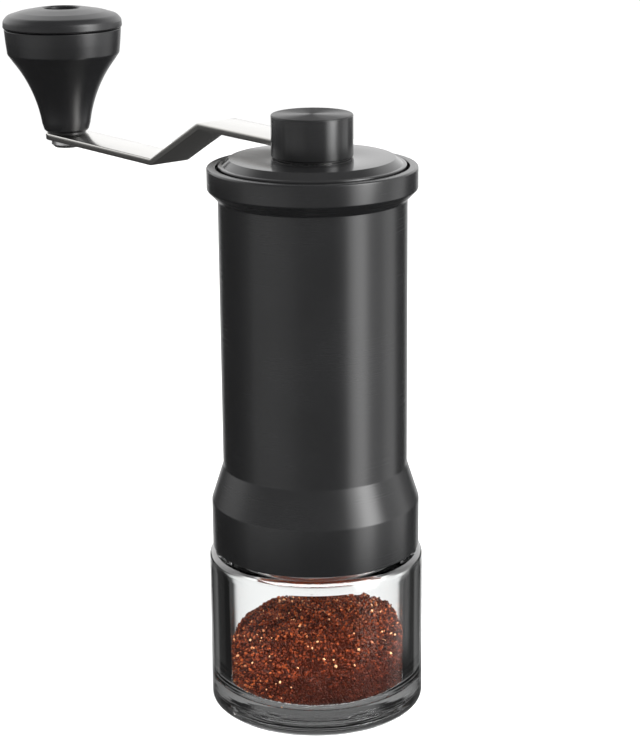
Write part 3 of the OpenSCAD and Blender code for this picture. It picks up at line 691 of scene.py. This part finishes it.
lid = lathe("lid_disc", rounded([
    (LID_BORE, 144.5), (11.8, 144.5, 0.3), (11.8, 149.0, 0.5), (19.6, 149.0, 0.5),
    (19.6, 141.5, 0.2), (SPIGOT_R, 141.5, 0.4), (SPIGOT_R, 143.4), (20.85, 143.4),
    (20.85, 145.7), (SPIGOT_R, 145.7), (SPIGOT_R, 147.6), (FLANGE_R, 147.6, 0.2),
    (FLANGE_R, FLANGE_TOP, 0.28), (23.75, FLANGE_TOP, 0.12), (21.85, LID_TOP, 0.16),
    (LID_BORE, LID_TOP, 0.1)], 4), 224)
add_piece(lid, "lid", LID_BLACK, ["lid"])

hub = lathe("hub_turned", rounded([
    (0, HUB_TOP), (0, 161.4), (3.52, 161.4), (3.52, 156.82), (8.01, 156.8), (8.01, HUB_LOW),
    (HUB_R, HUB_LOW, 0.3), (HUB_R, HUB_TOP, 0.42)], 5), 192)
add_piece(hub, "crank", HUB_BLACK, ["hub_cap"])


# ---------------------------------------------------------------- crank strip

STRIP_W, STRIP_T, BEND = 12.8, 2.0, 1.5
HIGH_Z, LOW_Z = 156.8, 143.5
S_UP, S_LOW = 43.0, 66.8


def strip_path():
    """Centre line of the bent strip as (s, x, z, angle) samples; x runs out along -X."""
    phi = math.atan2(HIGH_Z - LOW_Z, S_LOW - S_UP)
    mid = BEND + STRIP_T / 2
    big = BEND + STRIP_T
    c1 = (S_UP - big * math.tan(phi / 2), HIGH_Z - big)
    c2 = (S_LOW + BEND * math.tan(phi / 2), LOW_Z + BEND)
    pts = [(-STRIP_W / 2, HIGH_Z - STRIP_T / 2, 0.0)]
    for i in range(9):
        a = phi * i / 8
        pts.append((c1[0] + mid * math.sin(a), c1[1] + mid * math.cos(a), a))
    for i in range(9):
        a = phi * (1 - i / 8)
        pts.append((c2[0] - mid * math.sin(a), c2[1] - mid * math.cos(a), a))
    pts.append((-PIN_X + STRIP_W / 2, LOW_Z - STRIP_T / 2, 0.0))
    s, out = 0.0, []
    for i, p in enumerate(pts):
        if i:
            s += math.hypot(p[0] - pts[i - 1][0], p[1] - pts[i - 1][1])
        out.append((s, *p))
    return out


def strip_mesh():
    path = strip_path()
    total = path[-1][0]
    r = STRIP_W / 2
    key = sorted(set([round(p[0], 4) for p in path[1:-1]]))
    straight = sorted(set(key + list(np.linspace(r, total - r, 60).round(4))))
    # stations along the outline: half circle, straight, half circle
    n_end = 14
    edge = [(0.30, 0.0), (0.16, 0.035), (0.05, 0.12), (0.0, 0.28)]
    levels = [(d, STRIP_T / 2 - h) for d, h in edge]
    levels += [(d, -STRIP_T / 2 + h) for d, h in reversed(edge)]
    verts, loops = [], []

    def place(s, y, h):
        s0 = min(max(s, 0.0), total)
        for a, b in zip(path, path[1:]):
            if s0 <= b[0] + 1e-9:
                t = (s0 - a[0]) / max(b[0] - a[0], 1e-9)
                x, z, ang = (a[i] + (b[i] - a[i]) * t for i in (1, 2, 3))
                break
        verts.append((-(x + h * math.sin(ang)) * MM, y * MM, (z + h * math.cos(ang)) * MM))
        return len(verts) - 1

    for d, h in levels:
        half = []
        for i in range(n_end):
            a = math.pi / 2 * i / n_end
            half.append((r - (r - d) * math.cos(a), (r - d) * math.sin(a)))
        for s in straight:
            half.append((s, r - d))
        for i in range(1, n_end + 1):
            a = math.pi / 2 * i / n_end
            half.append((total - r + (r - d) * math.sin(a), (r - d) * math.cos(a)))
        upper = [place(s, y, h) for s, y in half]
        lower = [upper[0]] + [place(s, -y, h) for s, y in half[1:-1]] + [upper[-1]]
        loops.append((upper, lower))
    faces = []
    for (ua, la), (ub, lb) in zip(loops, loops[1:]):
        for i in range(len(ua) - 1):
            faces.append((ua[i], ub[i], ub[i + 1], ua[i + 1]))
            faces.append((la[i], la[i + 1], lb[i + 1], lb[i]))
    for (u, l), flip in ((loops[0], False), (loops[-1], True)):
        for i in range(len(u) - 1):
            f = [u[i], u[i + 1], l[i + 1], l[i]]
            f = [v for k, v in enumerate(f) if v not in f[:k]]
            faces.append(tuple(reversed(f)) if flip else tuple(f))
    return finish_mesh("crank_strip", verts, faces, 40)


strip = strip_mesh()
add_piece(strip, "crank", STRIP, ["crank_arm"])


# ---------------------------------------------------------------- knob

FLARE_X, FLARE_Z, FLARE_R = 47.47, 140.63, 40.54   # the arc of the grip's hollow side
KNOB_BORE, KNOB_LOW, SEAM_Z = 4.52, 144.0, 175.15
CAP_BORE, CAP_LOW = 5.3, 175.25

knob_points = [(KNOB_BORE, KNOB_LOW), (6.3, KNOB_LOW, 0.4), (6.8, 144.6, 0.3)]
for i in range(25):
    z = 146.4 + 19.1 * i / 24
    knob_points.append((FLARE_X - math.sqrt(FLARE_R ** 2 - (z - FLARE_Z) ** 2), z))
knob_points += [(16.9, 167.6, 1.4), (17.3, 171.2, 3.0), (17.6, 175.0, 0.25), (16.9, 175.2, 0.1),
                (16.6, 174.9, 0.1), (16.3, SEAM_Z, 0.1), (7.0, SEAM_Z), (7.0, 174.0),
                (KNOB_BORE, 174.0)]
knob = lathe("knob_grip", rounded(knob_points, 6), 160, PIN_X)
add_piece(knob, "knob", PLASTIC, ["knob_body"])

cap = lathe("knob_dome", rounded([
    (CAP_BORE, CAP_LOW), (16.3, CAP_LOW, 0.1), (16.6, 175.5, 0.1), (17.7, CAP_LOW, 0.2),
    (17.95, 175.75, 0.3), (17.8, 177.6, 1.6), (16.6, 179.0, 2.4), (13.0, 180.1, 5.0),
    (8.5, 180.9, 6.0), (5.9, 181.2, 0.5), (CAP_BORE, 180.8, 0.3)], 7), 160, PIN_X)
add_piece(cap, "knob", CAP_PLASTIC, ["knob_cap"])


# ---------------------------------------------------------------- springs

# the coil stops short of the washer above by the 0.4 mm that the burr can still rise
spring = sweep("burr_coil", helix(5.3, 80.5, 86.46, 4.0, 40), 0.44, 12)
add_piece(spring, "burr", SPRING_STEEL, ["burr_spring"])

click = helix(0.75, 55.55, 57.3, 4.0, 28)
click_spring = sweep("click_coil", [(p[0] + 8.5, p[1], p[2]) for p in click], 0.15, 8)
add_piece(click_spring, "dial", SPRING_STEEL, ["detent_spring"])


# ---------------------------------------------------------------- studio

def camera():
    height, dist = 252.363, 545.535
    yaw, pitch, roll = 0.00280939, 0.28265600, -0.00859924
    f = Vector((math.sin(yaw) * math.cos(pitch), math.cos(yaw) * math.cos(pitch),
                -math.sin(pitch)))
    r = Vector((math.cos(yaw), -math.sin(yaw), 0))
    u = r.cross(f)
    right = r * math.cos(roll) + u * math.sin(roll)
    up = -r * math.sin(roll) + u * math.cos(roll)
    turn = Matrix.Rotation(ARM_TURN, 3, "Z")
    m = Matrix.Identity(4)
    for i, axis in enumerate((turn @ right, turn @ up, turn @ -f)):
        m.col[i][:3] = axis
    m.col[3][:3] = turn @ Vector((0, -dist, height)) * MM
    data = bpy.data.cameras.new("photo_camera")
    data.sensor_width = 36.0
    data.lens = 102.155
    data.clip_start, data.clip_end = 0.01, 50
    cam = bpy.data.objects.new("photo_camera", data)
    cam.matrix_world = m
    bpy.context.scene.collection.objects.link(cam)
    bpy.context.scene.camera = cam


def floor():
    bm = bmesh.new()
    bmesh.ops.create_circle(bm, cap_ends=True, segments=128, radius=0.9)
    me = bpy.data.meshes.new("floor")
    bm.to_mesh(me)
    bm.free()
    ob = bpy.data.objects.new("floor", me)
    ob.location = (0, 0, -0.00005)
    bpy.context.scene.collection.objects.link(ob)
    s = Shader("floor", (0.9, 0.9, 0.9), 0.6)
    ob.data.materials.append(s.mat)
    ob.visible_glossy = False
    ob.visible_transmission = False


# degrees round from the camera (right positive) and the light from there
LOW_PANELS = [(-180, 0.95), (-160, 0.95), (-152, 0.06), (-122, 0.05), (-104, 0.10), (-88, 0.30),
              (-76, 0.80), (-50, 0.95), (-36, 0.85), (-8, 0.46), (24, 0.36), (38, 0.5), (48, 3.6),
              (56, 5.0), (64, 4.6), (72, 1.3), (90, 1.0), (98, 1.6), (112, 1.5), (124, 0.10),
              (150, 0.06), (158, 0.95), (180, 0.95)]
HIGH_PANELS = [(-180, 1.35), (-140, 1.7), (-100, 1.3), (-78, 0.6), (-60, 0.45), (0, 0.42),
               (34, 0.5), (44, 3.6), (60, 11.0), (68, 9.5), (80, 1.0), (110, 1.2), (145, 1.6),
               (180, 1.35)]
PEAK = 12.0


def world():
    w = bpy.data.worlds.new("studio")
    bpy.context.scene.world = w
    w.use_nodes = True
    nt = w.node_tree
    nt.nodes.clear()
    link = nt.links.new

    def node(kind, **kw):
        n = nt.nodes.new(kind)
        for k, v in kw.items():
            setattr(n, k, v)
        return n

    coord = node("ShaderNodeTexCoord").outputs["Generated"]
    to_cam = (math.sin(ARM_TURN), -math.cos(ARM_TURN), 0)
    right = (math.cos(ARM_TURN), math.sin(ARM_TURN), 0)

    def dot(v):
        d = node("ShaderNodeVectorMath", operation="DOT_PRODUCT")
        d.inputs[1].default_value = v
        link(coord, d.inputs[0])
        return d.outputs["Value"]

    def ramp(panels, value):
        r = node("ShaderNodeValToRGB")
        r.color_ramp.interpolation = "EASE"
        els = r.color_ramp.elements
        while len(els) < len(panels):
            els.new(0.5)
        for el, (deg, v) in zip(els, panels):
            el.position = (deg + 180) / 360
            el.color = (v / PEAK, v / PEAK, v / PEAK, 1)
        link(value, r.inputs["Fac"])
        return r.outputs["Color"]

    def blend(lo, hi, under, over):
        """Goes from one colour to the next while the direction's height rises from lo to hi."""
        f = node("ShaderNodeMapRange", interpolation_type="SMOOTHSTEP")
        for sock, height in (("From Min", lo), ("From Max", hi)):
            if isinstance(height, float):
                f.inputs[sock].default_value = height
            else:
                link(height, f.inputs[sock])
        link(up, f.inputs["Value"])
        m = node("ShaderNodeMix", data_type="RGBA")
        link(f.outputs[0], m.inputs["Factor"])
        for sock, col in (("A", under), ("B", over)):
            if isinstance(col, float):
                m.inputs[sock].default_value = (col / PEAK, col / PEAK, col / PEAK, 1)
            else:
                link(col, m.inputs[sock])
        return m.outputs["Result"]

    angle = node("ShaderNodeMath", operation="ARCTAN2")
    link(dot(right), angle.inputs[0])
    link(dot(to_cam), angle.inputs[1])
    turn = node("ShaderNodeMapRange")
    turn.inputs["From Min"].default_value = -math.pi
    turn.inputs["From Max"].default_value = math.pi
    link(angle.outputs[0], turn.inputs["Value"])
    up = dot((0, 0, 1))
    low = ramp(LOW_PANELS, turn.outputs[0])
    high = ramp(HIGH_PANELS, turn.outputs[0])
    sides = blend(-0.1, 0.05, low, high)
    roofed = blend(0.6, 0.85, sides, 0.35)
    path = node("ShaderNodeLightPath")

    def through_glass(plainly, through):
        """One value for light met directly, another for light that has come through glass."""
        m = node("ShaderNodeMapRange")
        m.inputs["To Min"].default_value = plainly
        m.inputs["To Max"].default_value = through
        link(path.outputs["Transmission Depth"], m.inputs["Value"])
        return m.outputs[0]

    under = through_glass(0.06 / PEAK, 1.3 / PEAK)
    all_round = blend(through_glass(-0.43, -0.58), through_glass(-0.385, -0.47), under, roofed)
    room = node("ShaderNodeBackground")
    link(all_round, room.inputs["Color"])
    plain = node("ShaderNodeBackground")
    plain.inputs["Color"].default_value = (1, 1, 1, 1)
    plain.inputs["Strength"].default_value = 1.05
    # light that has bounced about inside the glass comes back weaker
    inside = node("ShaderNodeMath", operation="MINIMUM")
    link(path.outputs["Glossy Depth"], inside.inputs[0])
    link(path.outputs["Transmission Depth"], inside.inputs[1])
    weak = node("ShaderNodeMapRange")
    weak.inputs["To Min"].default_value = PEAK
    weak.inputs["To Max"].default_value = PEAK * 0.15
    link(inside.outputs[0], weak.inputs["Value"])
    link(weak.outputs[0], room.inputs["Strength"])
    pick = node("ShaderNodeMixShader")
    link(path.outputs["Is Camera Ray"], pick.inputs["Fac"])
    link(room.outputs[0], pick.inputs[1])
    link(plain.outputs[0], pick.inputs[2])
    out = node("ShaderNodeOutputWorld")
    link(pick.outputs[0], out.inputs["Surface"])


def area(name, az, el, dist, size, power, target=(0, 0, 0.09)):
    """A soft box at an azimuth from the camera (right positive) and an elevation, in degrees."""
    a = ARM_TURN + math.radians(az)
    e = math.radians(el)
    way = Vector((math.sin(a) * math.cos(e), -math.cos(a) * math.cos(e), math.sin(e)))
    at = way * dist + Vector(target)
    data = bpy.data.lights.new(name, "AREA")
    data.shape = "RECTANGLE"
    data.size, data.size_y = size
    data.energy = power
    ob = bpy.data.objects.new(name, data)
    ob.location = at
    ob.rotation_mode = "QUATERNION"
    ob.rotation_quaternion = (Vector(target) - at).to_track_quat("-Z", "Y")
    bpy.context.scene.collection.objects.link(ob)
    ob.visible_glossy = False
    return ob


def shine_only_on(light, *pieces):
    """Limits a light to these pieces, which also mirror it. The camera doesn't see it."""
    light.visible_glossy = True
    light.visible_camera = False
    only = bpy.data.collections.new(light.name)
    for piece in pieces:
        only.objects.link(piece)
    light.light_linking.receiver_collection = only


camera()
floor()
world()
for warm in (area("heap_right", 140, 24, 0.7, (0.25, 0.25), 6.0, (0, 0, 0.02)),
             area("heap_left", -125, 24, 0.7, (0.25, 0.25), 3.0, (0, 0, 0.02))):
    warm.data.color = (1.0, 0.80, 0.62)
    shine_only_on(warm, grains, core)
shine_only_on(area("shoulder_front", 0, 62, 0.9, (1.6, 0.7), 30, (0, 0, 0.04)), jar)
area("key", 40, 48, 1.2, (0.7, 0.7), 14)
area("fill", -55, 40, 1.4, (0.9, 0.9), 7)
area("top", 170, 70, 1.2, (0.9, 0.9), 8)
bpy.context.scene.view_settings.view_transform = "Standard"
